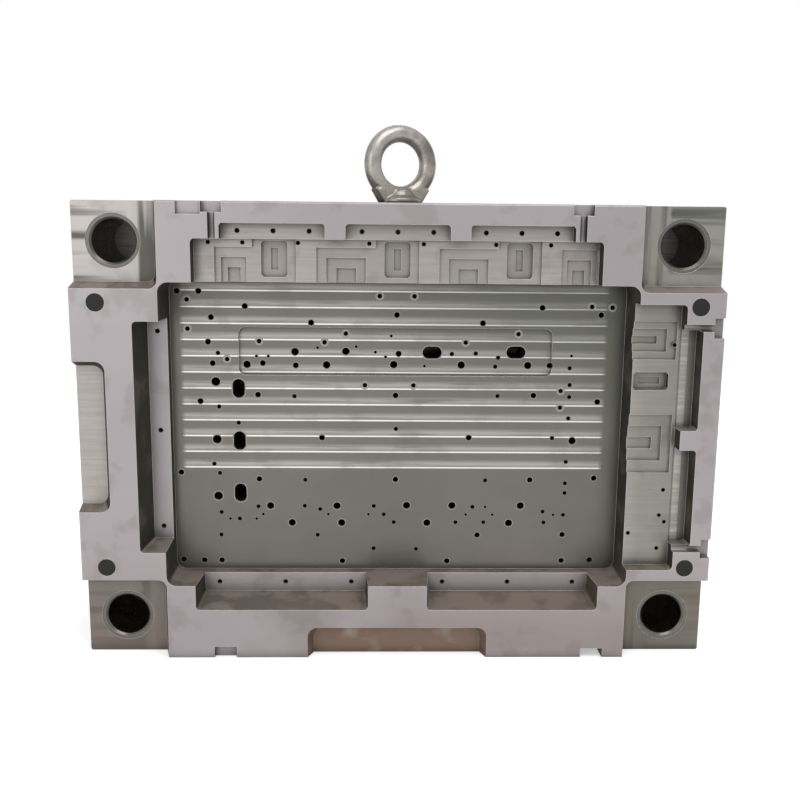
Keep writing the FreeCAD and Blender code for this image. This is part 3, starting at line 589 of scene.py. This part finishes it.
# ---------------------------------------------------------------- the lifting eye
def lifting_eye():
    """Forged ring with its neck and collar flowing into each other, and a threaded shank below."""
    ring_centre = Vector((0, EYE_Y, 0.705))
    bm = bmesh.new()
    section = bmesh.ops.create_circle(bm, segments=24, radius=0.0122,
                                      matrix=Matrix.Translation(ring_centre + Vector((0.0418, 0, 0))))
    around = section["verts"] + list({e for v in section["verts"] for e in v.link_edges})
    bmesh.ops.spin(bm, geom=around, cent=ring_centre, axis=(0, 1, 0), angle=2 * math.pi, steps=72,
                   use_merge=True, use_normal_flip=False, use_duplicate=False)
    bmesh.ops.remove_doubles(bm, verts=bm.verts, dist=1e-6)
    turned(bm, [(0.0, 0.0003), (0.0265, 0.0003), (0.0285, 0.002), (0.0285, 0.0065), (0.0265, 0.0085),
                (0.021, 0.0115), (0.0175, 0.018), (0.0, 0.022)], Vector((0, EYE_Y, TOP)), "Z", 48)
    web = bmesh.ops.create_cube(bm, size=1.0, matrix=Matrix.Translation((0, EYE_Y, 0.6605))
                                @ Matrix.Diagonal((0.056, 0.024, 0.0205, 1)))["verts"]
    for v in web:
        if v.co.z > 0.66:
            v.co.x *= 1.46
    bmesh.ops.recalc_face_normals(bm, faces=bm.faces)
    turn = Matrix.Translation(ring_centre) @ Matrix.Rotation(math.radians(22), 4, "Z")
    bmesh.ops.transform(bm, matrix=turn @ Matrix.Translation(-ring_centre), verts=bm.verts)
    rough = piece("eye_forging_blank", bm, None, None, "eye")
    skin = rough.modifiers.new("forged skin", "REMESH")
    skin.mode = "VOXEL"
    skin.voxel_size = 0.0011
    flow = rough.modifiers.new("forged flow", "SMOOTH")
    flow.factor = 0.5
    flow.iterations = 5
    finished = bpy.data.meshes.new_from_object(rough.evaluated_get(bpy.context.evaluated_depsgraph_get()))
    bpy.data.objects.remove(rough)
    eye = bpy.data.objects.new("lifting_eye_forging", finished)
    bpy.context.scene.collection.objects.link(eye)
    for polygon in finished.polygons:
        polygon.use_smooth = True
    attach(eye, "lifting_eye")
    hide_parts("eyebolt")
    thread = bmesh.new()
    crests = [(0.0, 0.0), (0.013, 0.0)]
    for i in range(12):
        crests += [(0.0150, 0.0020 + 0.0035 * i), (0.0131, 0.00375 + 0.0035 * i)]
    turned(thread, crests + [(0.0131, 0.0455)], Vector((0, EYE_Y, 0.605)), "Z", 36)
    bmesh.ops.recalc_face_normals(thread, faces=thread.faces)
    piece("eye_thread", thread, "lifting_eye", "eye_steel", "eye")


# ---------------------------------------------------------------- springs and screws
def coil_springs():
    """Flat wire coils at their free length; the real springs squeeze up as the ejector plates come forward.
    """
    start, free, turns, wire, radius, per_turn = -0.035, 0.090, 6, 0.0055, 0.0163, 28
    for corner, (sx, sz) in {"upper_left": (-1, 1), "upper_right": (1, 1),
                             "lower_left": (-1, -1), "lower_right": (1, -1)}.items():
        x, z = sx * RETURN_X, MIDDLE + sz * RETURN_Z
        bm = bmesh.new()
        bmesh.ops.create_grid(bm, x_segments=1, y_segments=1, size=wire / 2,
                              matrix=Matrix.Translation((x + radius, start + wire / 2, z)))
        steps = turns * per_turn
        rise = (free - wire) / steps
        bmesh.ops.spin(bm, geom=bm.verts[:] + bm.edges[:] + bm.faces[:], cent=(x, start, z), axis=(0, 1, 0),
                       dvec=(0, rise, 0), angle=2 * math.pi * turns, steps=steps, use_merge=False,
                       use_normal_flip=False, use_duplicate=False)
        bmesh.ops.recalc_face_normals(bm, faces=bm.faces)
        spring = piece("spring_coil_" + corner, bm, "mould_frame", "spring_steel", "spring")
        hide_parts("return_spring_" + corner)
        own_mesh(spring)


def socket_heads(name, node, places, diameter, seat, tip, body):
    """Socket head cap screws with round, chamfered heads that rest at seat and shanks that end at tip."""
    bm = bmesh.new()
    top = diameter
    for x, z in places:
        at = Vector((x / 1000, seat, z / 1000))
        r = diameter * 0.75
        turned(bm, [(diameter * 0.5, tip - seat), (diameter * 0.5, 0.0), (r, 0.0), (r, top * 0.93),
                    (r * 0.93, top)], at, "Y", 36)
        rim = [v for v in bm.verts if abs((v.co - at).y - top) < 1e-6
               and abs(Vector((v.co.x - at.x, v.co.z - at.z)).length - r * 0.93) < 1e-5]
        loop = list({e for v in rim for e in v.link_edges if all(w in rim for w in e.verts)})
        hexagon = bmesh.ops.create_circle(bm, segments=6, radius=diameter * 0.46,
                                          matrix=facing(at.x, at.y + top, at.z, True))["verts"]
        sides = list({e for v in hexagon for e in v.link_edges})
        bmesh.ops.bridge_loops(bm, edges=loop + sides)
        deep = bmesh.ops.extrude_edge_only(bm, edges=sides)["geom"]
        down = [g for g in deep if isinstance(g, bmesh.types.BMVert)]
        bmesh.ops.translate(bm, vec=(0, -diameter * 0.5, 0), verts=down)
        bmesh.ops.contextual_create(bm, geom=[g for g in deep if isinstance(g, bmesh.types.BMEdge)])
    bmesh.ops.recalc_face_normals(bm, faces=bm.faces)
    heads = piece(name, bm, body, "black_screw", "screw")
    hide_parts(node)


def back_screws():
    """Screws that are reached from the back, with the mouths of their counterbores."""
    clamp = [(x, z) for x in (-250, 0, 250) for z in (52.5, 597.5)]
    pillar = [(sx * 130, 325 + sz * 105) for sx in (-1, 1) for sz in (-1, 1)]
    ejector = [(x, 325 + s * 185) for s in (-1, 1) for x in (-280, 0, 280)]
    socket_heads("clamp_cap_screws", "clamp_screws", clamp, 0.020, 0.134, -0.037, "mould_frame")
    socket_heads("pillar_cap_screws", "pillar_screws", pillar, 0.016, 0.138, 0.085, "mould_frame")
    socket_heads("ejector_cap_screws", "ejector_plate_screws", ejector, 0.012, 0.097, 0.062, "ejector_set")
    mouths("clamp_counterbore_mouths", clamp, 0.016, CLAMP_BACK, 0.0012, back=True)
    mouths("pillar_counterbore_mouths", pillar, 0.013, CLAMP_BACK, 0.0012, back=True)
    mouths("ejector_counterbore_mouths", ejector, 0.010, 0.110, 0.0010, back=True, body="ejector_set")


# ---------------------------------------------------------------- stage
def stage():
    """The floor, and a world that the camera and reflections see as white."""
    bm = bmesh.new()
    bmesh.ops.create_grid(bm, x_segments=1, y_segments=1, size=14.0)
    floor = piece("studio_floor", bm, None, None, "floor")
    world = bpy.data.worlds.new("studio")
    bpy.context.scene.world = world
    world.use_nodes = True
    tree = world.node_tree
    back = tree.nodes["Background"]
    path = tree.nodes.new("ShaderNodeLightPath")
    seen = tree.nodes.new("ShaderNodeMath")
    seen.operation = "MAXIMUM"
    tree.links.new(path.outputs["Is Camera Ray"], seen.inputs[0])
    tree.links.new(path.outputs["Is Glossy Ray"], seen.inputs[1])
    both = tree.nodes.new("ShaderNodeMath")
    both.operation = "MAXIMUM"
    tree.links.new(seen.outputs[0], both.inputs[0])
    tree.links.new(path.outputs["Is Transmission Ray"], both.inputs[1])
    level = tree.nodes.new("ShaderNodeMapRange")
    back.inputs["Color"].default_value = (1, 1, 1, 1)
    level.inputs["To Min"].default_value = 0.62
    level.inputs["To Max"].default_value = 1.0
    tree.links.new(both.outputs[0], level.inputs["Value"])
    tree.links.new(level.outputs[0], back.inputs["Strength"])


def lamp(name, place, aim, size, power):
    """A square softbox."""
    light = bpy.data.lights.new(name, "AREA")
    light.size = size
    light.energy = power
    made = bpy.data.objects.new(name, light)
    bpy.context.scene.collection.objects.link(made)
    made.location = place
    made.rotation_euler = (Vector(aim) - Vector(place)).to_track_quat("-Z", "Y").to_euler()


def camera():
    """Looks at the parting face from a little above."""
    view = bpy.data.cameras.new("camera")
    view.lens = 42.75
    view.sensor_width = 36.0
    made = bpy.data.objects.new("camera", view)
    bpy.context.scene.collection.objects.link(made)
    made.location = (-0.0328, -1.4539, 0.6094)
    made.rotation_euler = Euler([math.radians(a) for a in (80.0454, -0.5780, -1.3753)])
    bpy.context.scene.camera = made


# ---------------------------------------------------------------- the mould, piece by piece
camera()
stage()
lamp("overhead softbox", (0.3, -1.2, 2.4), (0, 0, 0.3), 1.6, 26)
lamp("front softbox", (-1.6, -2.2, 1.1), (0, 0, 0.3), 1.4, 12)
lamp("back softbox", (0.8, 2.6, 1.8), (0, 0, 0.3), 1.8, 26)

node_finishes = {
    "core_plate": "core", "clamp_plate": "plate", "spacer_block_lower": "plate",
    "spacer_block_upper": "plate", "ejector_retainer_plate": "plate", "ejector_backing_plate": "plate",
    "guide_bushes": "hard", "support_pillars": "hard", "stop_buttons": "hard", "dowels": "hard",
    "clamp_screws": "screw", "pillar_screws": "screw", "ejector_plate_screws": "screw", "eyebolt": "eye",
}
for corner in ("upper_left", "upper_right", "lower_left", "lower_right"):
    node_finishes["return_pin_" + corner] = "pin"
    node_finishes["return_spring_" + corner] = "spring"
for name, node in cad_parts.items():
    node.data.materials.clear()
    node.data.materials.append(finishes[node_finishes[name]])

floor_mouths()
slot_mouths()
seat_mouths()
lifting_eye()
coil_springs()
back_screws()

bpy.context.scene.view_settings.view_transform = "Standard"
